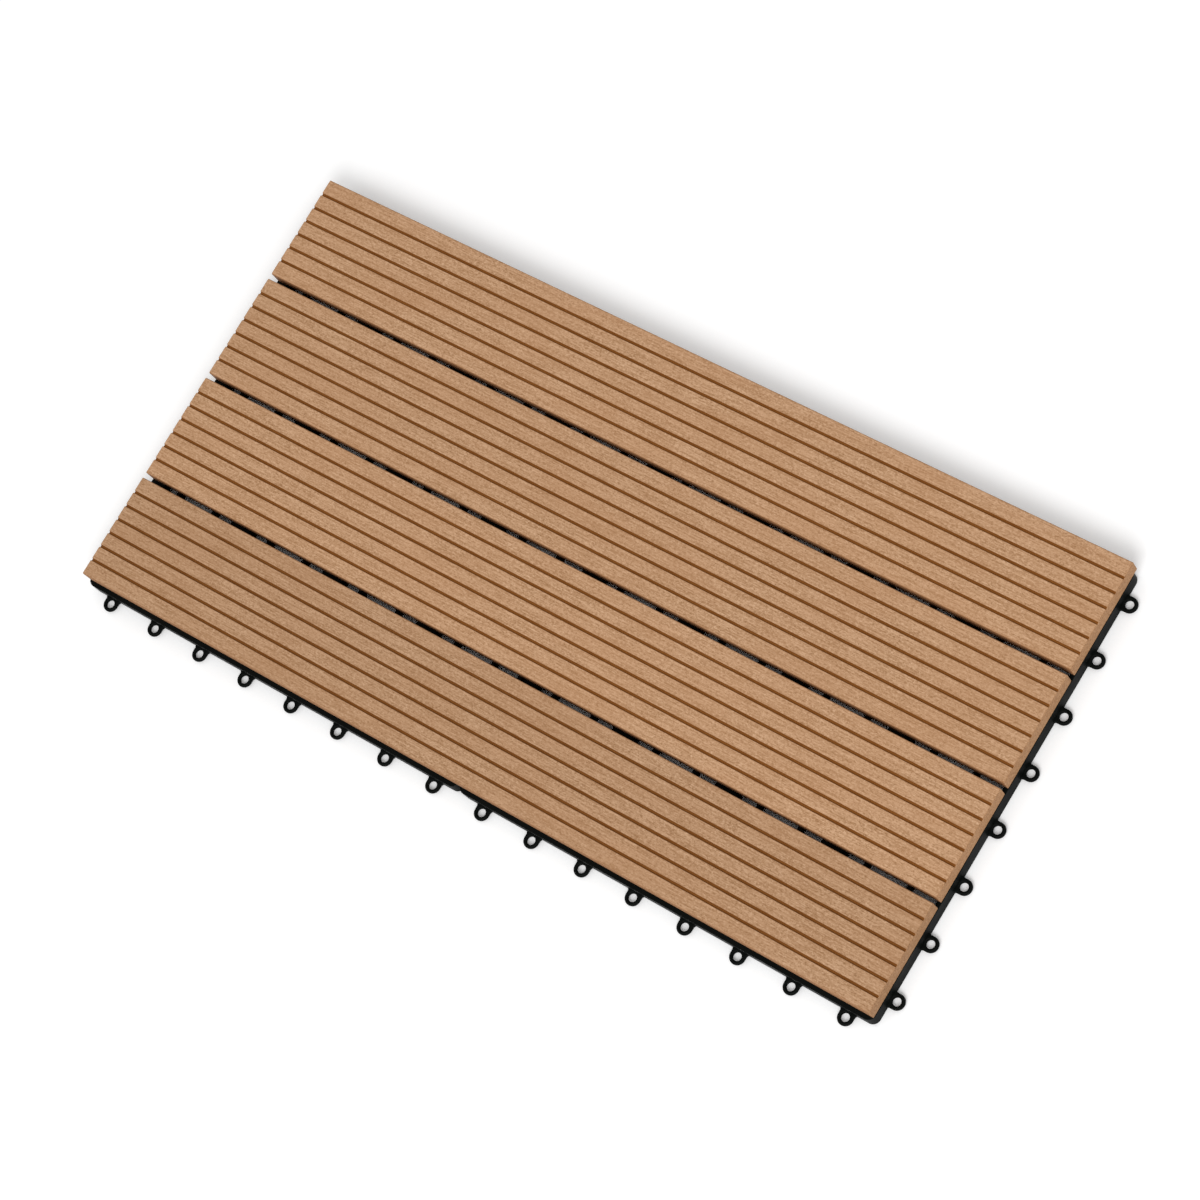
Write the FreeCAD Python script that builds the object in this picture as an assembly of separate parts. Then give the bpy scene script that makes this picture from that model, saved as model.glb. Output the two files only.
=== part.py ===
import FreeCAD, Part
import math
import os

# Interlocking deck tile, 600 x 300 mm nominal: four grooved composite slats screwed down on two
# identical moulded lattice bases. Each base carries eight rings on its front and right sides and
# eight pins on its back and left sides. The left base's right rings hold the right base's left pins.
# Frame: +X along the slats to the ring end, -Y to the long ring side, +Z up, floor at z = 0.
# The origin is the centre of the overall outline, rings included, at floor level.
# All sizes are in millimetres.

# Grid that tiles share
module = 300.0
bases_per_tile = 2
slats_per_tile = 4
cells_per_side = 4
rings_per_side = 8
joint_gap = 1.5

# Slats
slat_thickness = 11.0
slat_gap = 3.5
slat_end_gap = 2.0
slat_edge_radius = 1.0
groove_count = 6
groove_pitch = 10.05
groove_mouth = 1.8
groove_floor = 1.2
groove_depth = 1.2

# Lattice base
base_height = 11.0
base_corner_radius = 5.0
front_band = 3.0
ring_side_wall = 3.2
pin_side_wall = 2.0
pin_side_inner_wall = 2.0
flange_thickness = 3.0
rib_thickness = 2.0
rib_offset = 14.5
rib_lift = 3.0
post_width = 15.0
strut_thickness = 2.0

# Rings and the pins that they clip over
pin_radius = 2.25
pin_play = 0.35
pin_foot_gap = 1.0
ring_wall = 2.4
ring_thickness = 2.8
ring_lift = 1.0
ring_top_play = 0.8
ring_side_play = 0.6
ring_tip_play = 0.75

# Screws
screw_radius = 1.75
screw_play = 0.15
screw_tip_play = 0.3
screw_head_radius = 3.5
screw_head_height = 2.2
screw_cover = 1.8
screw_boss_width = 9.5

# Small repeated rounds are even-sided prisms with this many sides
ring_hole_sides = 10
ring_tip_steps = 8
pin_sides = 8
post_sides = 8
screw_sides = 6

# Worked out from the sizes above
cell = module / cells_per_side
ring_pitch = module / rings_per_side
slat_pitch = module / slats_per_tile
edge = joint_gap / 2
tile_length = bases_per_tile * module
slat_length = tile_length - slat_end_gap
slat_width = slat_pitch - slat_gap
slat_front = edge + front_band
top = base_height + slat_thickness
groove_margin = (slat_width - (groove_count - 1) * groove_pitch) / 2
slat_centres = [slat_front + slat_width / 2 + i * slat_pitch for i in range(slats_per_tile)]
cell_centres = [(i + 0.5) * cell for i in range(cells_per_side)]
ring_centres = [(i + 0.5) * ring_pitch for i in range(rings_per_side)]
ring_hole_radius = pin_radius + pin_play
ring_radius = ring_hole_radius + ring_wall
pin_inset = pin_radius
ring_reach = joint_gap + pin_inset
channel_inside = ring_reach + ring_radius - joint_gap + ring_tip_play
channel_height = base_height - flange_thickness
pin_side_border = channel_inside + pin_side_inner_wall
arch_width = 2 * (ring_radius + ring_side_play)
arch_height = ring_lift + ring_thickness + ring_top_play
screw_tip = top - groove_depth - screw_cover
screw_columns = [cell_centres[0], cell_centres[-1]]
slat_back = slat_front + slats_per_tile * slat_pitch - slat_gap
outline_left = min(edge, slat_end_gap / 2)
outline_right = tile_length - edge + ring_reach + ring_radius
outline_front = edge - ring_reach - ring_radius
outline_back = max(module - edge, slat_back)
shift_x = -(outline_left + outline_right) / 2
shift_y = -(outline_front + outline_back) / 2


def box(x0, x1, y0, y1, z0, z1):
    """A box between two corners."""
    return Part.makeBox(x1 - x0, y1 - y0, z1 - z0, FreeCAD.Vector(x0, y0, z0))


def prism(points, z0, z1):
    """A plan outline of straight sides, extruded from z0 up to z1."""
    corners = [FreeCAD.Vector(x, y, z0) for x, y in points]
    outline = Part.makePolygon(corners + corners[:1])
    return Part.Face(outline).extrude(FreeCAD.Vector(0, 0, z1 - z0))


def even_prism(x, y, across_flats, sides, z0, z1):
    """An upright prism with equal sides, given by its width across flats."""
    radius = across_flats / 2 / math.cos(math.pi / sides)
    angles = [(i + 0.5) * 2 * math.pi / sides for i in range(sides)]
    points = [(x + radius * math.cos(a), y + radius * math.sin(a)) for a in angles]
    return prism(points, z0, z1)


def turned(shape, x, y, degrees):
    """A copy of a shape, turned about an upright line through x, y."""
    copy = shape.copy()
    copy.rotate(FreeCAD.Vector(x, y, 0), FreeCAD.Vector(0, 0, 1), degrees)
    return copy


def spans_between(bands):
    """The open spans between neighbouring solid bands, as (start, end) pairs."""
    return [(bands[i][1], bands[i + 1][0]) for i in range(len(bands) - 1)]


def rib_band(centre):
    """The two faces of a rib that stands on a centre line."""
    return centre - rib_thickness / 2, centre + rib_thickness / 2


def lattice_columns():
    """Solid bands along X: pin-side border, a pair of ribs in each cell, ring-side wall."""
    ribs = [rib_band(c + side * rib_offset) for c in cell_centres for side in (-1, 1)]
    first = (edge, edge + pin_side_border)
    last = (module - edge - ring_side_wall, module - edge)
    return [first] + ribs + [last]


def lattice_rows():
    """Solid bands along Y: ring-side wall, one rib under the middle of each slat, pin-side border."""
    ribs = [rib_band(c) for c in slat_centres]
    first = (edge, edge + ring_side_wall)
    last = (module - edge - pin_side_border, module - edge)
    return [first] + ribs + [last]


def post_places():
    """Centres of the posts: between cells along X, between slats along Y."""
    columns = [(i + 1) * cell for i in range(cells_per_side - 1)]
    rows = [(slat_centres[i] + slat_centres[i + 1]) / 2 for i in range(slats_per_tile - 1)]
    return [(x, y) for x in columns for y in rows]


def post_with_struts(x, y):
    """A post down to the floor with four diagonal struts out to the ribs beside it."""
    reach = cell / 2 - rib_offset
    strut = box(x, x + reach * math.sqrt(2), y - strut_thickness / 2, y + strut_thickness / 2,
                rib_lift, base_height)
    post = even_prism(x, y, post_width, post_sides, 0, base_height)
    return post.multiFuse([turned(strut, x, y, 45 + 90 * i) for i in range(4)])


def ring():
    """One ring, with the middle of its root at the origin and its tip towards -Y."""
    half_turn = [math.pi * (1 + i / ring_tip_steps) for i in range(ring_tip_steps + 1)]
    tip = [(ring_radius * math.cos(a), ring_radius * math.sin(a) - ring_reach) for a in half_turn]
    buried = ring_side_wall / 2
    outline = [(-ring_radius, buried)] + tip + [(ring_radius, buried)]
    tab = prism(outline, ring_lift, ring_lift + ring_thickness)
    hole = even_prism(0, -ring_reach, 2 * ring_hole_radius, ring_hole_sides, 0, base_height)
    return tab.cut(hole)


def rings():
    """Eight rings on the front side and eight on the right side of one base."""
    front = []
    right = []
    for along in ring_centres:
        copy = ring()
        copy.translate(FreeCAD.Vector(along, edge, 0))
        front.append(copy)
        copy = turned(ring(), 0, 0, 90)
        copy.translate(FreeCAD.Vector(module - edge, along, 0))
        right.append(copy)
    return front + right


def pins():
    """Eight pins on the back side and eight on the left side of one base."""
    z0, z1 = pin_foot_gap, channel_height
    inset = edge + pin_inset
    back = [even_prism(c, module - inset, 2 * pin_radius, pin_sides, z0, z1) for c in ring_centres]
    left = [even_prism(inset, c, 2 * pin_radius, pin_sides, z0, z1) for c in ring_centres]
    return back + left


def ring_channels():
    """The room under the flange that takes the neighbour's rings: channels and wall arches."""
    near = edge + pin_side_wall
    far = edge + channel_inside
    end = module - edge - ring_side_wall
    start = edge + ring_side_wall
    cuts = [box(near, far, start, module - near, 0, channel_height),
            box(near, end, module - far, module - near, 0, channel_height)]
    for c in ring_centres:
        low, high = c - arch_width / 2, c + arch_width / 2
        cuts.append(box(0, near, low, high, 0, arch_height))
        cuts.append(box(low, high, module - near, module, 0, arch_height))
    return cuts


def screw_places():
    """Plan centres of the screws of one base: two in each slat."""
    return [(x, y) for x in screw_columns for y in slat_centres]


def base_grid():
    """One moulded lattice base, in the place of the left one."""
    block = box(edge, module - edge, edge, module - edge, 0, base_height)
    upright = [e for e in block.Edges if abs(e.tangentAt(e.FirstParameter).z) > 0.5]
    block = block.makeFillet(base_corner_radius, upright)
    windows = [box(x0, x1, y0, y1, 0, base_height)
               for x0, x1 in spans_between(lattice_columns())
               for y0, y1 in spans_between(lattice_rows())]
    under_ribs = box(edge + pin_side_wall, module - edge - ring_side_wall,
                     edge + ring_side_wall, module - edge - pin_side_wall, 0, rib_lift)
    lattice = block.cut(windows + [under_ribs] + ring_channels())
    bosses = [even_prism(x, y, screw_boss_width, screw_sides, rib_lift, base_height)
              for x, y in screw_places()]
    posts = [post_with_struts(x, y) for x, y in post_places()]
    whole = lattice.multiFuse(posts + bosses + rings() + pins())
    width = 2 * (screw_radius + screw_play)
    holes = [even_prism(x, y, width, screw_sides, 0, base_height) for x, y in screw_places()]
    return whole.cut(holes).removeSplitter()


def slat_section():
    """The slat's end profile at x = 0: flat underside, rounded top edges and grooves in the top."""
    r = slat_edge_radius
    half = slat_width / 2
    knee = r * (1 - math.sqrt(0.5))

    def at(y, z):
        return FreeCAD.Vector(0, y, z)

    rows = [at(half, top - r), at(half, base_height), at(-half, base_height), at(-half, top - r)]
    edges = [Part.makePolygon(rows)]
    edges.append(Part.Arc(at(-half, top - r), at(-half + knee, top - knee), at(-half + r, top)).toShape())
    line = [at(-half + r, top)]
    for i in range(groove_count):
        middle = -half + groove_margin + i * groove_pitch
        line.append(at(middle - groove_mouth / 2, top))
        line.append(at(middle - groove_floor / 2, top - groove_depth))
        line.append(at(middle + groove_floor / 2, top - groove_depth))
        line.append(at(middle + groove_mouth / 2, top))
    line.append(at(half - r, top))
    edges.append(Part.makePolygon(line))
    edges.append(Part.Arc(at(half - r, top), at(half - knee, top - knee), at(half, top - r)).toShape())
    return Part.Face(Part.Wire([e for piece in edges for e in piece.Edges]))


def slat(centre):
    """One slat over both bases, with a blind pilot hole above each screw place."""
    body = slat_section().extrude(FreeCAD.Vector(slat_length, 0, 0))
    body.translate(FreeCAD.Vector(slat_end_gap / 2, centre, 0))
    width = 2 * (screw_radius + screw_play)
    deep = screw_tip + screw_tip_play
    holes = [even_prism(x + i * module, centre, width, screw_sides, base_height, deep)
             for i in range(bases_per_tile) for x in screw_columns]
    return body.cut(holes)


def screw(x, y):
    """A pan-head screw, head down under its boss and shank up into the slat."""
    head = even_prism(x, y, 2 * screw_head_radius, screw_sides, rib_lift - screw_head_height, rib_lift)
    shank = even_prism(x, y, 2 * screw_radius, screw_sides, rib_lift, screw_tip)
    return head.fuse(shank)


def moved(shape, x):
    """A copy moved along X, then into the tile's own frame."""
    copy = shape.copy()
    copy.translate(FreeCAD.Vector(x + shift_x, shift_y, 0))
    return copy


def main():
    os.makedirs("parts", exist_ok=True)
    nodes = {}
    grid = base_grid()
    for i, name in enumerate(("base_grid_left", "base_grid_right")):
        nodes[name] = moved(grid, i * module)
    for name, centre in zip(("slat_front", "slat_second", "slat_third", "slat_back"), slat_centres):
        nodes[name] = moved(slat(centre), 0)
    screws = [moved(screw(x, y), i * module) for i in range(bases_per_tile) for x, y in screw_places()]
    nodes["slat_screws"] = Part.makeCompound(screws)
    for name, shape in nodes.items():
        shape.exportStep(f"parts/{name}.step")


main()
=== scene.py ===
import math

import bpy
import numpy as np
from mathutils import Matrix, Vector


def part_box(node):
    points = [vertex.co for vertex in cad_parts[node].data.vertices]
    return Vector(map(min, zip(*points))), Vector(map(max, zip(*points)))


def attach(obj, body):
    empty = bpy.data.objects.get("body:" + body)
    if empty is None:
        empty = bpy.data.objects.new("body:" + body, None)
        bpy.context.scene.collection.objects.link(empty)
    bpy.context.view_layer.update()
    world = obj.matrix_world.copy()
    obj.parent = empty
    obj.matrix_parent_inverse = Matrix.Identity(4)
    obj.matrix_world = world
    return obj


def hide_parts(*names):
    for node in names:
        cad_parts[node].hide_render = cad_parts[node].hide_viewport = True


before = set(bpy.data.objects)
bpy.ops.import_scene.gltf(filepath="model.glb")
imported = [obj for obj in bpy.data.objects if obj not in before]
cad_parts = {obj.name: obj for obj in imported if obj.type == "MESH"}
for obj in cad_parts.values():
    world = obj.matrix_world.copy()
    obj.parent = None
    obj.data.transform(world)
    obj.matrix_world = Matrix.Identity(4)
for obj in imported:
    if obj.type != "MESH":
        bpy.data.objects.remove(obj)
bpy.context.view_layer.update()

# An interlocking deck tile: four grooved composite slats on two moulded lattice bases.
# Sizes are in millimetres and turn to metres where a mesh is made. The frame is the CAD model's:
# +X along the slats to the ring end, -Y to the long ring side, +Z up, floor at z = 0.
MM = 0.001

# The grid: a module is one base, four cells or eight rings wide. EDGE is half the gap between two
# bases, and the shift takes the left module's front left corner to its place in the frame.
MODULE = 300.0
CELL = 75.0
RING_PITCH = 37.5
EDGE = 0.75
SHIFT_X, SHIFT_Y = -304.375, -146.125

# Slats. FRONT_BAND is the strip of base that shows in front of the first one.
SLAT_WIDTH = 71.5
FRONT_BAND = 3.0
EDGE_ROUND, UNDER_ROUND, END_ROUND = 1.0, 0.6, 0.4
GROOVES, GROOVE_PITCH = 6, 10.05
GROOVE_MOUTH, GROOVE_FLOOR, GROOVE_DEPTH = 1.8, 1.2, 1.2
LIP_ROUND, FLOOR_ROUND = 0.32, 0.28
ROWS_ALONG = 26

# Lattice base
BASE_HEIGHT = 11.0
CORNER = 5.0
RING_WALL, PIN_WALL, INNER_WALL = 3.2, 2.0, 2.0
CHANNEL, CHANNEL_TOP = 8.0, 8.0
ARCH_WIDTH, ARCH_HEIGHT, ARCH_ROUND = 11.2, 4.6, 0.8
RIB, RIB_OFFSET, RIB_LIFT = 2.0, 14.5, 3.0
POST_RADIUS, BOSS_RADIUS = 7.5, 4.75
STRUT = 2.0
MOULD_ROUND, POST_FOOT_ROUND, PIN_FOOT_ROUND = 0.4, 0.6, 0.5

# How far a fused piece reaches into what it meets, and a cut past what it opens
PAST = 1.0

# Rings and pins
RING_REACH, RING_RADIUS, RING_HOLE = 3.75, 5.0, 2.6
RING_LOW, RING_HIGH, RING_ROUND, ROOT_FLARE = 1.0, 3.8, 1.15, 1.3
PIN_INSET, PIN_RADIUS, PIN_FOOT = 2.25, 2.25, 1.0

# Screws: shank, hole in the boss and pointed tip, then the head with its dome and cross slot
SCREW_RADIUS, SCREW_HOLE = 1.75, 1.9
SCREW_TIP, TIP_LENGTH, TIP_RADIUS = 19.0, 1.5, 0.5
HEAD_RADIUS, HEAD_HEIGHT, HEAD_EDGE = 3.5, 2.2, 0.3
DOME_FLAT, DOME_DROP, DOME_POWER = 2.2, 0.9, 2.4
SLOT_HALF, SLOT_SLOPE, SLOT_DEPTH = 0.62, 0.24, 1.2
SLOT_REACH, SLOT_RUN = 2.15, 0.45

# Points round each round form
RING_POINTS, POST_POINTS, SCREW_POINTS, BOSS_POINTS, PIN_POINTS = 48, 40, 40, 28, 24

CELL_CENTRES = (np.arange(4) + 0.5) * CELL
RING_CENTRES = (np.arange(8) + 0.5) * RING_PITCH
SLAT_CENTRES = EDGE + FRONT_BAND + SLAT_WIDTH / 2 + np.arange(4) * CELL
POSTS = [(CELL * (i + 1), (SLAT_CENTRES[k] + SLAT_CENTRES[k + 1]) / 2)
         for i in range(3) for k in range(3)]
SCREW_PLACES = [(x, y) for x in CELL_CENTRES[[0, -1]] for y in SLAT_CENTRES]

# Light in metres, watts and parts of full white: the room as it lights the tile, the floor's own
# light as it is seen near the tile, and what is added to that far from it
ROOM_LIGHT, FLOOR_GLOW, FAR_GLOW = 0.7, 0.13, 0.25
FLOOR_REACH = 20.0
LAMP_PLACE, LAMP_SIZE, LAMP_POWER = (1.3, -1.7, 2.4), 1.6, 54


# Surfaces, as arrays of points and of four-cornered faces

def closed_rows(rows, around=False):
    """Faces over a grid of rows, each row a closed outline. Point (i, j) has the number i * n + j,
    and a face joins it to its next neighbour along and across. The last row joins the first where
    around is set; otherwise each end is shut by a strip of faces that pairs point j with point
    n - 1 - j of the outline."""
    count, n = rows.shape[:2]
    i = np.arange(count if around else count - 1)[:, None]
    j = np.arange(n)[None, :]
    here, there = i * n, (i + 1) % count * n
    turn = (j + 1) % n
    sides = np.stack([here + j, there + j, there + turn, here + turn], -1)
    faces = [sides.reshape(-1, 4)]
    if not around:
        k = np.arange(n // 2 - 1)
        strip = np.stack([k, k + 1, n - 2 - k, n - 1 - k], -1)
        faces += [strip, strip[:, ::-1] + (count - 1) * n]
    return outward(rows.reshape(-1, 3), np.concatenate(faces))


def outward(points, faces):
    """The same surface with its faces turned outwards: the sum of a . (b x c) over its triangles is
    six times the volume inside, so where it is negative every face is reversed."""
    a, b, c, d = (points[faces[:, k]] for k in range(4))
    volume = (np.einsum("ij,ij->", a, np.cross(b, c))
              + np.einsum("ij,ij->", a, np.cross(c, d)))
    return points, faces if volume > 0 else faces[:, ::-1]


def gathered(surfaces):
    """Several surfaces as one: the points in a row, and the faces counted on from them."""
    starts = np.cumsum([0] + [len(points) for points, _ in surfaces[:-1]])
    return (np.concatenate([points for points, _ in surfaces]),
            np.concatenate([faces + start for (_, faces), start in zip(surfaces, starts)]))


def softened(corners, cuts, steps=4):
    """A line through corners, with each corner P rounded: (1-t)^2 A + 2t(1-t) P + t^2 C, where A
    and C lie on the two runs that meet there, the corner's cut away from it. The first and last
    corners only give directions."""
    corner, before, after = corners[1:-1], corners[:-2], corners[2:]
    cut = np.asarray(cuts, float)[:, None]
    a = corner + (before - corner) / np.linalg.norm(before - corner, axis=1)[:, None] * cut
    c = corner + (after - corner) / np.linalg.norm(after - corner, axis=1)[:, None] * cut
    t = np.linspace(0, 1, steps + 1)[None, :, None]
    line = (1 - t) ** 2 * a[:, None] + 2 * t * (1 - t) * corner[:, None] + t ** 2 * c[:, None]
    return line.reshape(-1, 2)


def soft_section(soft, steps):
    """An upright rectangle with quarter-round corners, for any width and height: for each point,
    which side and which end it belongs to (0 or 1), and how far it lies in from that side and that
    end."""
    t = np.linspace(0, math.pi / 2, steps + 1)[None, :]
    angle = np.array([[1.0], [1.5], [0.0], [0.5]]) * math.pi + t
    side = np.array([[0], [1], [1], [0]]) + 0 * angle
    end = np.array([[0], [0], [1], [1]]) + 0 * angle
    across = soft * np.cos(angle) + soft * (1 - 2 * side)
    upward = soft * np.sin(angle) + soft * (1 - 2 * end)
    return [part.ravel() for part in (side, end, across, upward)]


def raised(plan, height):
    """Points (x, y, z) from a grid of plan points and one height for each point of a row."""
    level = np.broadcast_to(height[None, :, None], plan.shape[:2] + (1,))
    return np.concatenate([plan, level], -1)


def hoop(outer, inner, low, high, soft, steps=3):
    """A closed band between two plan outlines with as many points each: at every pair, the soft
    rectangle spans from the inner point to the outer one and from low to high."""
    side, end, across, upward = soft_section(soft, steps)
    run = outer - inner
    unit = run / np.linalg.norm(run, axis=1)[:, None]
    plan = (inner[:, None] + run[:, None] * side[None, :, None]
            + unit[:, None] * across[None, :, None])
    return closed_rows(raised(plan, low + (high - low) * end + upward), around=True)


def bar(start, finish, width, low, high, soft=MOULD_ROUND, steps=3):
    """A straight bar with the soft rectangle as its section, carried from start to finish."""
    side, end, across, upward = soft_section(soft, steps)
    start, finish = np.asarray(start, float), np.asarray(finish, float)
    along = (finish - start) / np.linalg.norm(finish - start)
    over = np.array([-along[1], along[0]])
    aside = ((side - 0.5) * width + across)[None, :, None]
    plan = np.stack([start, finish])[:, None] + over * aside
    return closed_rows(raised(plan, low + (high - low) * end + upward))


def rim(radius, end, soft):
    """Three points (r, z) of a profile round a rim at the height end. They lie on a quarter circle
    of radius |soft|, whose middle is 0.3 |soft| in from both faces. The radius grows from point to
    point; soft is positive for a lower rim and negative for an upper one."""
    size = abs(soft)
    return [(radius - size, end), (radius - 0.3 * size, end + 0.3 * soft), (radius, end + soft)]


def turned(profile, x, y, count):
    """A round piece: each point (r, z) of the profile goes once round the upright line through
    x, y, as (x + r cos a, y + r sin a, z)."""
    radius, height = np.asarray(profile, float).T
    angle = np.arange(count) * 2 * math.pi / count
    rows = np.stack([x + radius[:, None] * np.cos(angle), y + radius[:, None] * np.sin(angle),
                     np.broadcast_to(height[:, None], (len(radius), count))], -1)
    return closed_rows(rows)


def made(name, surface, marks=None):
    """An object from a surface in millimetres, with its own numbers per point as attributes."""
    points, faces = surface
    mesh = bpy.data.meshes.new(name)
    mesh.from_pydata(points * MM, [], faces)
    for mark, values in (marks or {}).items():
        layer = mesh.attributes.new(mark, "FLOAT", "POINT")
        layer.data.foreach_set("value", values.astype(np.float32))
    piece = bpy.data.objects.new(name, mesh)
    bpy.context.scene.collection.objects.link(piece)
    return piece


def finished(piece, node, material, sharp):
    """Shades the piece smooth up to an angle in degrees, weights its normals by face area so that
    flats stay flat, hangs it under the root body and hides the node it stands for."""
    mesh = piece.data
    mesh.materials.clear()
    mesh.materials.append(material)
    mesh.polygons.foreach_set("use_smooth", np.ones(len(mesh.polygons), bool))
    mesh.set_sharp_from_angle(angle=math.radians(sharp))
    weighted = piece.modifiers.new("flats", "WEIGHTED_NORMAL")
    weighted.keep_sharp = True
    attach(piece, "root")
    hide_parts(node)


# Finishes

def paint(code):
    """An sRGB hex value as linear colour: c / 12.92 up to 0.04045, else
    ((c + 0.055) / 1.055) ^ 2.4."""
    c = np.array([int(code[k:k + 2], 16) for k in (1, 3, 5)]) / 255
    linear = np.where(c <= 0.04045, c / 12.92, ((c + 0.055) / 1.055) ** 2.4)
    return (*linear.tolist(), 1.0)


def add(tree, kind, inputs=None, **settings):
    """Adds a node with its settings; an input is another node's output or a plain value."""
    node = tree.nodes.new(kind)
    for name, value in settings.items():
        setattr(node, name, value)
    for socket, value in (inputs or {}).items():
        if isinstance(value, bpy.types.NodeSocket):
            tree.links.new(value, node.inputs[socket])
        else:
            node.inputs[socket].default_value = value
    return node


def new_material(name):
    """An empty node material, its tree and its output node."""
    material = bpy.data.materials.new(name)
    material.use_nodes = True
    material.node_tree.nodes.clear()
    return material, material.node_tree, add(material.node_tree, "ShaderNodeOutputMaterial")


def grain(tree, size, detail=2.0, roughness=0.5):
    """Noise whose cells have a real size in millimetres along X, Y and Z: Object coordinates, in
    metres, are multiplied by 1000 / size on each axis."""
    place = add(tree, "ShaderNodeTexCoord").outputs["Object"]
    scaled = add(tree, "ShaderNodeMapping",
                 {"Vector": place, "Scale": tuple(1000 / s for s in size)})
    noise = add(tree, "ShaderNodeTexNoise",
                {"Vector": scaled.outputs["Vector"], "Scale": 1.0, "Detail": detail,
                 "Roughness": roughness})
    return noise.outputs["Fac"]


def laid_over(tree, pattern, none, full, under, over, most=1.0):
    """One colour laid over another by a pattern: not at all where the pattern has the level none,
    by the part most where it has the level full, and evenly in between."""
    amount = add(tree, "ShaderNodeMapRange",
                 {"Value": pattern, "From Min": none, "From Max": full, "To Max": most})
    mix = add(tree, "ShaderNodeMix", {0: amount.outputs["Result"], 6: under, 7: over},
              data_type="RGBA")
    return mix.outputs[2]


def composite_board():
    """Extruded wood-plastic composite with a sanded walking face. Sanding leaves pale lands with
    fine streaks along the board and flecks of wood flour; grooves and sides keep the darker,
    smoother skin of the die, and the sawn ends show the rough, flecked core."""
    material, tree, out = new_material("sanded wood-plastic composite")
    streak = grain(tree, (18.0, 0.75, 0.75), detail=3.0, roughness=0.6)
    fleck = grain(tree, (2.2, 1.0, 1.0), detail=2.0, roughness=0.6)
    cloud = grain(tree, (70.0, 24.0, 24.0), detail=2.0)
    # Real flour specks are about 0.2 mm; these are as coarse as the picture can show
    speck = grain(tree, (1.2, 0.8, 0.8), detail=1.0)
    # Lands: streaks, then pale and dark flecks, dark and pale specks, and slow clouds of tone
    land = laid_over(tree, streak, 0.36, 0.64, paint("#A67D59"), paint("#C39B78"))
    land = laid_over(tree, fleck, 0.54, 0.68, land, paint("#D8B18F"), most=0.55)
    land = laid_over(tree, fleck, 0.46, 0.32, land, paint("#916847"), most=0.55)
    land = laid_over(tree, speck, 0.6, 0.72, land, paint("#815931"), most=0.6)
    land = laid_over(tree, speck, 0.4, 0.28, land, paint("#DAB593"), most=0.5)
    land = laid_over(tree, cloud, 0.35, 0.65, land, paint("#B2845F"), most=0.3)
    skin = laid_over(tree, streak, 0.3, 0.7, paint("#794613"), paint("#89541E"))
    side = laid_over(tree, streak, 0.3, 0.7, paint("#8E6340"), paint("#A27550"))
    core = laid_over(tree, speck, 0.3, 0.7, paint("#8E6543"), paint("#B78D67"))
    core = laid_over(tree, fleck, 0.4, 0.6, core, paint("#A87F5B"), most=0.35)
    # The slat's own numbers: sanded is 0 in the grooves, 0.5 on the sides and 1 on the lands, sawn
    # is 1 on the ends, and tone makes each slat a little lighter or darker, the front one the
    # darkest
    sanded, sawn, tone = (add(tree, "ShaderNodeAttribute", attribute_name=mark).outputs["Fac"]
                          for mark in ("sanded", "sawn", "tone"))
    colour = laid_over(tree, sanded, 0.0, 0.5, skin, side)
    colour = laid_over(tree, sanded, 0.5, 1.0, colour, land)
    colour = laid_over(tree, sawn, 0.0, 1.0, colour, core)
    shade = add(tree, "ShaderNodeCombineColor", {"Red": tone, "Green": tone, "Blue": tone})
    toned = add(tree, "ShaderNodeMix", {0: 1.0, 6: colour, 7: shade.outputs["Color"]},
                data_type="RGBA", blend_type="MULTIPLY")
    rough = add(tree, "ShaderNodeMapRange", {"Value": streak, "From Min": 0.3, "From Max": 0.7,
                                             "To Min": 0.78, "To Max": 0.66})
    # Sanding scratches run with the board, drawn 0.5 mm wide
    scratch = grain(tree, (30.0, 0.5, 0.5), detail=2.0, roughness=0.6)
    relief = add(tree, "ShaderNodeBump",
                 {"Strength": 0.4, "Distance": 0.06 * MM, "Height": scratch})
    board = add(tree, "ShaderNodeBsdfPrincipled",
                {"Base Color": toned.outputs[2], "Roughness": rough.outputs["Result"],
                 "IOR": 1.46, "Specular IOR Level": 0.2, "Normal": relief.outputs["Normal"]})
    tree.links.new(board.outputs["BSDF"], out.inputs["Surface"])
    return material


def black_moulding():
    """Injection-moulded black polypropylene from an eroded mould: near black with a faint
    green-grey cast, a fine even grain and a soft sheen that changes a little where the melt has
    flowed."""
    material, tree, out = new_material("moulded black polypropylene")
    flow = grain(tree, (26.0, 26.0, 12.0), detail=2.0)
    # The mould's grain is about 0.1 mm; it is drawn at 0.5 mm to show
    pebble = grain(tree, (0.5, 0.5, 0.5), detail=2.0)
    colour = laid_over(tree, flow, 0.35, 0.65, paint("#060807"), paint("#0A0C0B"))
    colour = laid_over(tree, pebble, 0.4, 0.7, colour, paint("#0F1210"), most=0.5)
    rough = add(tree, "ShaderNodeMapRange", {"Value": flow, "From Min": 0.35, "From Max": 0.65,
                                             "To Min": 0.46, "To Max": 0.58})
    relief = add(tree, "ShaderNodeBump", {"Strength": 0.2, "Distance": 0.05 * MM, "Height": pebble})
    plastic = add(tree, "ShaderNodeBsdfPrincipled",
                  {"Base Color": colour, "Roughness": rough.outputs["Result"], "IOR": 1.49,
                   "Specular IOR Level": 0.04, "Normal": relief.outputs["Normal"]})
    tree.links.new(plastic.outputs["BSDF"], out.inputs["Surface"])
    return material


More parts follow.
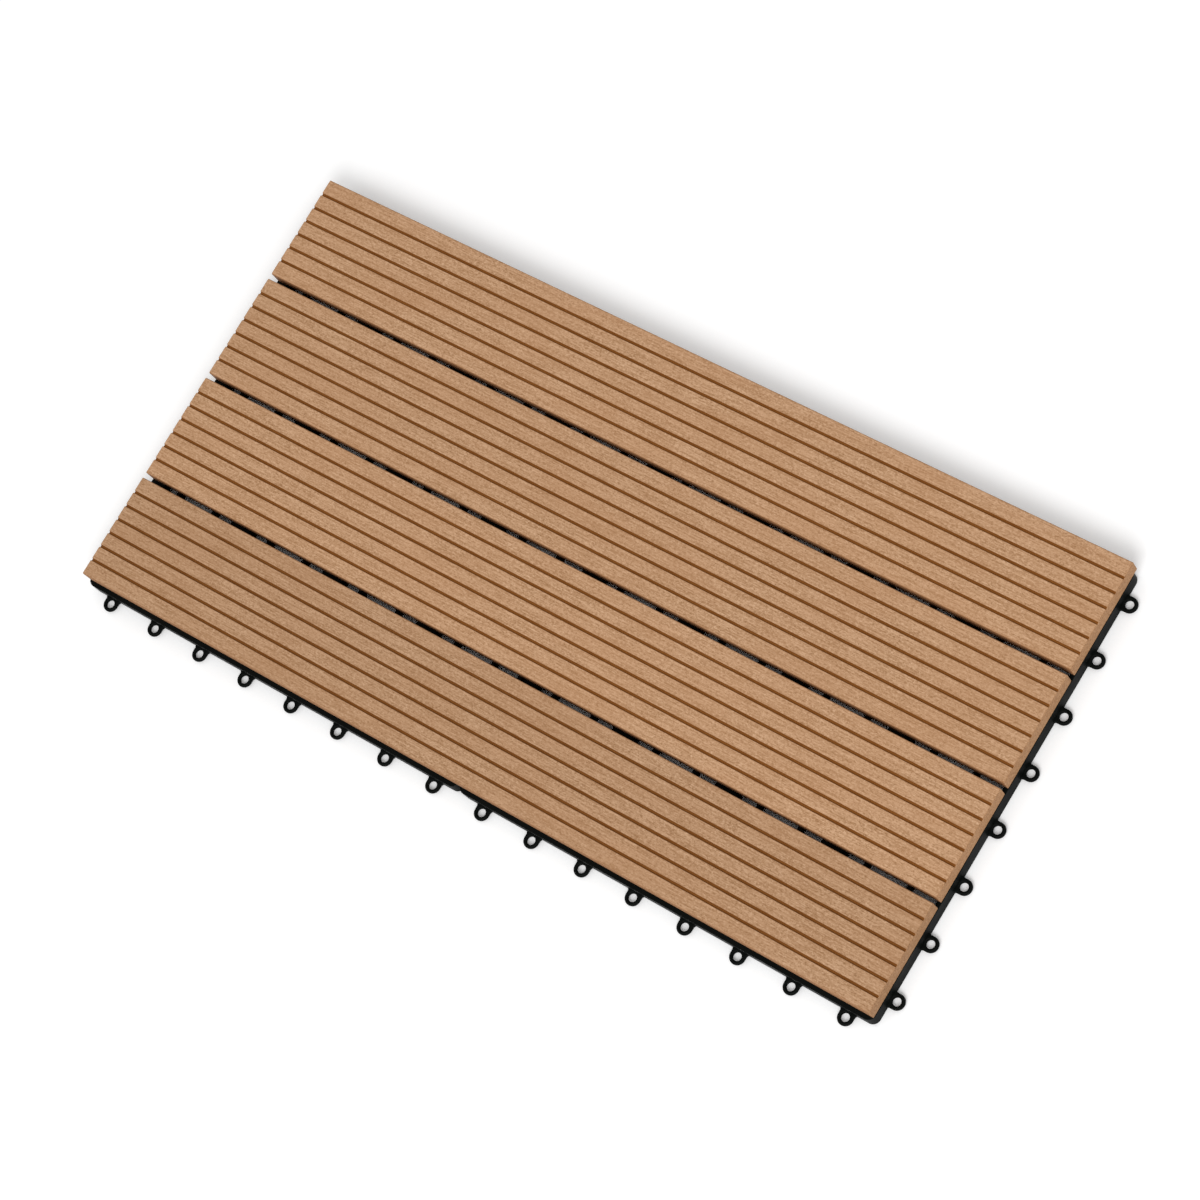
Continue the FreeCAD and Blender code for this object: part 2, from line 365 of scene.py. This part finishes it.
def zinc_plate():
    """Cold-headed steel with bright zinc plating: a pale grey metal, slightly cloudy, with small
    dull patches."""
    material, tree, out = new_material("zinc plated steel")
    cloud = grain(tree, (1.6, 1.6, 1.6), detail=3.0)
    colour = laid_over(tree, cloud, 0.35, 0.65, paint("#B9BCC0"), paint("#D2D4D6"))
    rough = add(tree, "ShaderNodeMapRange", {"Value": cloud, "From Min": 0.3, "From Max": 0.7,
                                             "To Min": 0.28, "To Max": 0.42})
    metal = add(tree, "ShaderNodeBsdfPrincipled",
                {"Base Color": colour, "Metallic": 1.0, "Roughness": rough.outputs["Result"]})
    tree.links.new(metal.outputs["BSDF"], out.inputs["Surface"])
    return material


def seen(tree):
    """1 for rays from the camera, and for those that a gloss or a clear piece sends on, else 0."""
    path = add(tree, "ShaderNodeLightPath").outputs
    either = add(tree, "ShaderNodeMath", {0: path["Is Camera Ray"], 1: path["Is Glossy Ray"]},
                 operation="MAXIMUM")
    return add(tree, "ShaderNodeMath", {0: either.outputs[0], 1: path["Is Transmission Ray"]},
               operation="MAXIMUM").outputs[0]


def pale_floor():
    """Matt white board: it takes the tile's shadow, and a little light of its own, for seen rays
    only, lifts what is in the open to plain white. There is none under the tile, where the larger
    of |x| and |y|, counted from the middle of the base walls in half sides, is under 1, and more of
    it from 3 to 14, as the lamp's light gives out."""
    material, tree, out = new_material("matt white floor")
    board = add(tree, "ShaderNodeBsdfDiffuse", {"Color": paint("#F8F8F8")})
    middle = np.array([SHIFT_X + MODULE, SHIFT_Y + MODULE / 2]) * MM
    half = np.array([MODULE - EDGE, MODULE / 2 - EDGE]) * MM
    place = add(tree, "ShaderNodeTexCoord").outputs["Object"]
    counted = add(tree, "ShaderNodeMapping",
                  {"Vector": place, "Scale": (*(1 / half).tolist(), 0),
                   "Location": (*(-middle / half).tolist(), 0)})
    size = add(tree, "ShaderNodeVectorMath", {0: counted.outputs["Vector"]}, operation="ABSOLUTE")
    part = add(tree, "ShaderNodeSeparateXYZ", {"Vector": size.outputs["Vector"]}).outputs
    larger = add(tree, "ShaderNodeMath", {0: part["X"], 1: part["Y"]}, operation="MAXIMUM")
    near, far = (add(tree, "ShaderNodeMapRange", {"Value": larger.outputs[0], "From Min": low,
                                                  "From Max": high, "To Max": glow})
                 for low, high, glow in ((0.995, 1.005, FLOOR_GLOW), (3.0, 14.0, FAR_GLOW)))
    level = add(tree, "ShaderNodeMath", {0: near.outputs[0], 1: far.outputs[0]}, operation="ADD")
    lift = add(tree, "ShaderNodeMath", {0: seen(tree), 1: level.outputs[0]}, operation="MULTIPLY")
    glow = add(tree, "ShaderNodeEmission", {"Strength": lift.outputs[0]})
    both = add(tree, "ShaderNodeAddShader", {0: board.outputs[0], 1: glow.outputs[0]})
    tree.links.new(both.outputs[0], out.inputs["Surface"])
    return material


# Slats

def slat_line(half, thickness):
    """The upper line of a slat's section, as (y, z) over its own underside, from one long edge to
    the other: rounded edges and, between lands, grooves with sloped walls, rounded lips and a
    rounded floor."""
    middles = (np.arange(GROOVES) - (GROOVES - 1) / 2) * GROOVE_PITCH
    across = np.array([-GROOVE_MOUTH, -GROOVE_FLOOR, GROOVE_FLOOR, GROOVE_MOUTH]) / 2
    depth = np.array([0, GROOVE_DEPTH, GROOVE_DEPTH, 0])
    heights = np.broadcast_to(thickness - depth, (GROOVES, 4))
    groove = np.stack([middles[:, None] + across, heights], -1)
    ends = np.array([[-half, 0], [-half, thickness], [half, thickness], [half, 0]])
    corners = np.concatenate([ends[:2], groove.reshape(-1, 2), ends[2:]])
    groove_cuts = [LIP_ROUND, FLOOR_ROUND, FLOOR_ROUND, LIP_ROUND]
    return softened(corners, [EDGE_ROUND] + groove_cuts * GROOVES + [EDGE_ROUND])


def slat(name, node, tone, material):
    """A slat: the section is carried along X over its node's box. The underside is flat but for
    r - sqrt(r^2 - d^2), where d is how far a point lies over the start of its rounded edge. Towards
    each end the section draws in along its own normals by r - sqrt(r^2 - (r - d)^2), where d is the
    distance to the end, which rounds the sawn edge."""
    low, high = (np.array(corner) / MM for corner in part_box(node))
    length, half, thickness = high[0] - low[0], (high[1] - low[1]) / 2, high[2] - low[2]
    over = slat_line(half, thickness)
    past = np.clip(np.abs(over[:, 0]) - (half - UNDER_ROUND), 0, UNDER_ROUND)
    under = np.stack([over[:, 0], UNDER_ROUND - np.sqrt(UNDER_ROUND ** 2 - past ** 2)], -1)
    section = np.concatenate([under, over[::-1]])
    tangent = np.roll(section, -1, 0) - np.roll(section, 1, 0)
    normal = np.stack([tangent[:, 1], -tangent[:, 0]], -1)
    normal /= np.linalg.norm(tangent, axis=1)[:, None]
    near = END_ROUND * np.array([0.0, 0.13, 0.5, 1.0])
    inner = np.linspace(END_ROUND, length - END_ROUND, ROWS_ALONG)[1:-1]
    along = np.concatenate([near, inner, length - near[::-1]])
    to_end = np.minimum(np.minimum(along, along[::-1]), END_ROUND)
    drawn = END_ROUND - np.sqrt(END_ROUND ** 2 - (END_ROUND - to_end) ** 2)
    outline = section[None] - normal[None] * drawn[:, None, None]
    station = np.broadcast_to(along[:, None, None], outline.shape[:2] + (1,))
    rows = np.concatenate([station, outline], -1)
    rows = rows + np.array([low[0], (low[1] + high[1]) / 2, low[2]])
    # How far each point is sanded: 1 on the lands, 0 in the grooves, 0.5 on the sides and below
    face = np.clip((over[:, 1] - (thickness - LIP_ROUND)) / LIP_ROUND, 0, 1)
    by_edge = np.abs(over[:, 0]) > half - EDGE_ROUND - 0.01
    above = np.where(by_edge, 0.5 + 0.5 * face, face)
    sanded = np.concatenate([np.full(len(under), 0.5), above[::-1]])
    sanded = np.broadcast_to(sanded, rows.shape[:2])
    sawn = np.broadcast_to(to_end[:, None] < END_ROUND, sanded.shape)
    marks = {"sanded": sanded.ravel(), "sawn": sawn.ravel(), "tone": np.full(sanded.size, tone)}
    finished(made(name, closed_rows(rows), marks), node, material, sharp=40)


# Lattice bases

def rounded_square(low, high, radius, steps=10):
    """Plan outline of a square from low to high on both axes, with a quarter circle at each corner,
    starting at the front left one and going round by the front right:
    centre + r (cos a, sin a)."""
    sign = np.array([[1, 1], [-1, 1], [-1, -1], [1, -1]])
    corner = np.array([[low[0], low[1]], [high[0], low[1]], [high[0], high[1]], [low[0], high[1]]])
    centre = corner + sign * radius
    angle = (np.array([[1.0], [1.5], [0.0], [0.5]]) + np.linspace(0, 0.5, steps + 1)) * math.pi
    arc = centre[:, None] + radius * np.stack([np.cos(angle), np.sin(angle)], -1)
    return arc.reshape(-1, 2)


def ring(x, y, turns):
    """A ring around a hole at x, y whose root lies towards +Y, turned by quarter turns. Its
    outside, seen from the hole's centre, is a circle on the tip's half, and on the root's half the
    nearer of two straight sides and of the buried end: min(r / |cos a|, e / |sin a|). Near the wall
    the sides flare out by f u^2, where u goes from 0 to 1 over the last f millimetres."""
    angle = np.arange(RING_POINTS) * 2 * math.pi / RING_POINTS + math.pi / RING_POINTS
    cos, sin = np.cos(angle), np.sin(angle)
    buried = RING_REACH + RING_WALL / 2
    straight = np.minimum(RING_RADIUS / np.abs(cos), buried / np.abs(sin))
    flare = ROOT_FLARE * np.clip((straight * sin - RING_REACH) / ROOT_FLARE + 1, 0, 1) ** 2
    rooted = np.minimum((RING_RADIUS + flare) / np.abs(cos), buried / np.abs(sin))
    reach = np.where(sin < 0, RING_RADIUS, rooted)
    spin = angle + turns * math.pi / 2
    way = np.stack([np.cos(spin), np.sin(spin)], -1)
    place = np.array([x, y])
    return hoop(place + way * reach[:, None], place + way * RING_HOLE,
                RING_LOW, RING_HIGH, RING_ROUND, steps=4)


def fused(body, surfaces, operation="UNION"):
    """Joins closed surfaces that don't meet each other to the body, or cuts them out of it, as
    solids."""
    other = made("tool", gathered(surfaces))
    step = body.modifiers.new("fuse", "BOOLEAN")
    step.solver = "MANIFOLD"
    step.operation = operation
    step.object = other
    shaped = body.evaluated_get(bpy.context.evaluated_depsgraph_get())
    body.data = bpy.data.meshes.new_from_object(shaped)
    body.modifiers.clear()
    bpy.data.objects.remove(other)


def lattice_base(name):
    """One moulded base in the place of the left one, as a single closed shell: walls, ribs and
    flanges fused, arches cut through the walls of the pin sides, then posts, bosses, pins, rings
    and struts fused on, and screw holes cut."""
    near, far = EDGE, MODULE - EDGE
    outer = rounded_square((near, near), (far, far), CORNER)
    inner = rounded_square((near + PIN_WALL, near + RING_WALL), (far - RING_WALL, far - PIN_WALL),
                           CORNER - RING_WALL)
    base = made(name, hoop(outer, inner, 0, BASE_HEIGHT, MOULD_ROUND))

    # Ribs one way and the other, each with the wall inside the channel of a pin side
    rib_low, rib_high = near + RING_WALL / 2, far - RING_WALL / 2
    left_wall, back_wall = near + CHANNEL + INNER_WALL / 2, far - CHANNEL - INNER_WALL / 2
    columns = (CELL_CENTRES[:, None] + np.array([-RIB_OFFSET, RIB_OFFSET])).ravel()
    fused(base, [bar((x, rib_low), (x, back_wall), RIB, RIB_LIFT, BASE_HEIGHT) for x in columns]
          + [bar((left_wall, rib_low), (left_wall, back_wall), INNER_WALL, RIB_LIFT, BASE_HEIGHT)])
    fused(base, [bar((left_wall, y), (rib_high, y), RIB, RIB_LIFT, BASE_HEIGHT)
                 for y in SLAT_CENTRES]
          + [bar((near + CHANNEL, back_wall), (rib_high, back_wall), INNER_WALL, 0, BASE_HEIGHT)])

    # Flanges over the channels
    flange_low, flange_high = near + PAST, near + CHANNEL + INNER_WALL
    width, left = flange_high - flange_low, (flange_low + flange_high) / 2
    back = MODULE - left
    fused(base, [bar((left, rib_low), (left, far - PAST), width, CHANNEL_TOP, BASE_HEIGHT)])
    fused(base, [bar((near + PAST, back), (rib_high, back), width, CHANNEL_TOP, BASE_HEIGHT)])

    arch = (ARCH_WIDTH, -2 * PAST, ARCH_HEIGHT, ARCH_ROUND)
    fused(base, [bar((near - PAST, c), (near + PIN_WALL + PAST, c), *arch) for c in RING_CENTRES]
          + [bar((c, far - PIN_WALL - PAST), (c, far + PAST), *arch) for c in RING_CENTRES],
          "DIFFERENCE")

    post = (rim(POST_RADIUS, 0, POST_FOOT_ROUND)
            + rim(POST_RADIUS, BASE_HEIGHT, -MOULD_ROUND)[::-1])
    boss = (rim(BOSS_RADIUS, RIB_LIFT, MOULD_ROUND)
            + rim(BOSS_RADIUS, BASE_HEIGHT, -MOULD_ROUND)[::-1])
    pin = rim(PIN_RADIUS, PIN_FOOT, PIN_FOOT_ROUND) + [(PIN_RADIUS, CHANNEL_TOP + PAST)]
    inset = near + PIN_INSET
    fused(base, [turned(post, x, y, POST_POINTS) for x, y in POSTS]
          + [turned(boss, x, y, BOSS_POINTS) for x, y in SCREW_PLACES]
          + [turned(pin, inset, c, PIN_POINTS) for c in RING_CENTRES]
          + [turned(pin, c, MODULE - inset, PIN_POINTS) for c in RING_CENTRES]
          + [ring(c, near - RING_REACH, 0) for c in RING_CENTRES]
          + [ring(far + RING_REACH, c, 1) for c in RING_CENTRES])

    # Struts cross at each post, from rib to rib
    out = CELL / 2 - RIB_OFFSET
    for slope in (-1, 1):
        fused(base, [bar((x - out, y - slope * out), (x + out, y + slope * out), STRUT,
                         RIB_LIFT, BASE_HEIGHT) for x, y in POSTS])
    hole = [(SCREW_HOLE, RIB_LIFT - PAST), (SCREW_HOLE, BASE_HEIGHT + PAST)]
    fused(base, [turned(hole, x, y, PIN_POINTS) for x, y in SCREW_PLACES], "DIFFERENCE")
    return base


def placed(piece, x):
    """Moves a mesh along X, then from the tile's grid into the frame."""
    piece.data.transform(Matrix.Translation(((x + SHIFT_X) * MM, SHIFT_Y * MM, 0)))


# Screws

def screw(x, y):
    """A pan-head screw, head down. Over a disc of radius r and angle a the head falls as a dome,
    by h ((r - r0) / (R - r0))^p outside r0, and a cross recess rises into it: its depth is full
    where |x| or |y| is under half the slot's width, inside the slot's length, and runs out over
    the slope of its walls."""
    angle = np.arange(SCREW_POINTS) * 2 * math.pi / SCREW_POINTS
    radius = np.array([0.15, 0.45, 0.7, 0.95, 1.25, 1.5, 1.75, 1.95, 2.15, 2.5, 2.9, 3.2, 3.42,
                       HEAD_RADIUS])
    outside = np.clip(radius - DOME_FLAT, 0, None) / (HEAD_RADIUS - DOME_FLAT)
    dome = DOME_DROP * outside ** DOME_POWER
    px, py = radius[:, None] * np.cos(angle), radius[:, None] * np.sin(angle)
    slot = np.minimum(np.abs(px), np.abs(py))
    depth = (np.clip((SLOT_HALF - slot) / SLOT_SLOPE, 0, 1)
             * np.clip((SLOT_REACH - radius[:, None]) / SLOT_RUN, 0, 1))
    height = RIB_LIFT - HEAD_HEIGHT + dome[:, None] + SLOT_DEPTH * depth
    face = np.stack([px, py, height], -1)
    rest = np.array([(HEAD_RADIUS, RIB_LIFT - HEAD_EDGE), (HEAD_RADIUS - HEAD_EDGE / 2, RIB_LIFT),
                     (SCREW_RADIUS, RIB_LIFT), (SCREW_RADIUS, SCREW_TIP - TIP_LENGTH),
                     (TIP_RADIUS, SCREW_TIP)])
    back = np.stack([rest[:, :1] * np.cos(angle), rest[:, :1] * np.sin(angle),
                     np.broadcast_to(rest[:, 1:], (len(rest), SCREW_POINTS))], -1)
    return closed_rows(np.concatenate([face, back]) + np.array([x, y, 0]))


# The tile

composite, plastic, zinc = composite_board(), black_moulding(), zinc_plate()

slat("front_slat", "slat_front", 0.9, composite)
slat("second_slat", "slat_second", 1.0, composite)
slat("third_slat", "slat_third", 0.985, composite)
slat("back_slat", "slat_back", 1.01, composite)

left_base = lattice_base("left_base")
right_base = bpy.data.objects.new("right_base", left_base.data.copy())
bpy.context.scene.collection.objects.link(right_base)
placed(left_base, 0)
placed(right_base, MODULE)
finished(left_base, "base_grid_left", plastic, sharp=30)
finished(right_base, "base_grid_right", plastic, sharp=30)

screws = made("screws", gathered([screw(x + shift, y)
                                  for shift in (0, MODULE) for x, y in SCREW_PLACES]))
placed(screws, 0)
finished(screws, "slat_screws", zinc, sharp=30)


# Floor, light and camera

square = np.array([(-1, -1, 0), (1, -1, 0), (1, 1, 0), (-1, 1, 0)])
floor_mesh = bpy.data.meshes.new("floor")
floor_mesh.from_pydata(square * FLOOR_REACH, [], [(0, 1, 2, 3)])
floor_mesh.materials.append(pale_floor())
floor = bpy.data.objects.new("floor", floor_mesh)
bpy.context.scene.collection.objects.link(floor)

# The room is plain white to seen rays and a little dimmer as a light
world = bpy.data.worlds.new("soft white room")
world.use_nodes = True
sky = world.node_tree
sky.nodes.clear()
strength = add(sky, "ShaderNodeMapRange", {"Value": seen(sky), "To Min": ROOM_LIGHT, "To Max": 1.0})
room = add(sky, "ShaderNodeBackground", {"Color": (1, 1, 1, 1), "Strength": strength.outputs[0]})
sky.links.new(room.outputs[0], add(sky, "ShaderNodeOutputWorld").inputs["Surface"])
bpy.context.scene.world = world

# One square soft lamp that faces the tile: its -Z axis points to the origin
lamp = bpy.data.lights.new("key", "AREA")
lamp.size = LAMP_SIZE
lamp.energy = LAMP_POWER
holder = bpy.data.objects.new("key", lamp)
bpy.context.scene.collection.objects.link(holder)
holder.location = LAMP_PLACE
holder.rotation_euler = (-Vector(LAMP_PLACE)).to_track_quat("-Z", "Y").to_euler()

# The photograph's viewing direction, with the tile large in the middle of the picture. The camera
# looks along a compass direction and down, rolls about its own axis, and stands back from its aim.
AZIMUTH, ELEVATION, ROLL = (math.radians(a) for a in (-73.6, 62.1, -44.1))
DISTANCE = 2.222
AIM = np.array([12.2, -4.3, 11.0]) * MM
FOCAL_PIXELS, PICTURE_PIXELS, SENSOR = 3722, 1200, 36.0

forward = np.array([math.cos(ELEVATION) * math.sin(AZIMUTH),
                    math.cos(ELEVATION) * math.cos(AZIMUTH), -math.sin(ELEVATION)])
level_right = np.cross(forward, [0, 0, 1])
level_right /= np.linalg.norm(level_right)
level_up = np.cross(level_right, forward)
right = level_right * math.cos(ROLL) + level_up * math.sin(ROLL)
up = -level_right * math.sin(ROLL) + level_up * math.cos(ROLL)
lens = bpy.data.cameras.new("camera")
lens.sensor_width = SENSOR
lens.lens = FOCAL_PIXELS / PICTURE_PIXELS * SENSOR
camera = bpy.data.objects.new("camera", lens)
bpy.context.scene.collection.objects.link(camera)
pose = np.eye(4)
pose[:3, :3] = np.stack([right, up, -forward], 1)
pose[:3, 3] = AIM - forward * DISTANCE
camera.matrix_world = Matrix(pose.tolist())
bpy.context.scene.camera = camera
bpy.context.scene.view_settings.view_transform = "Standard"
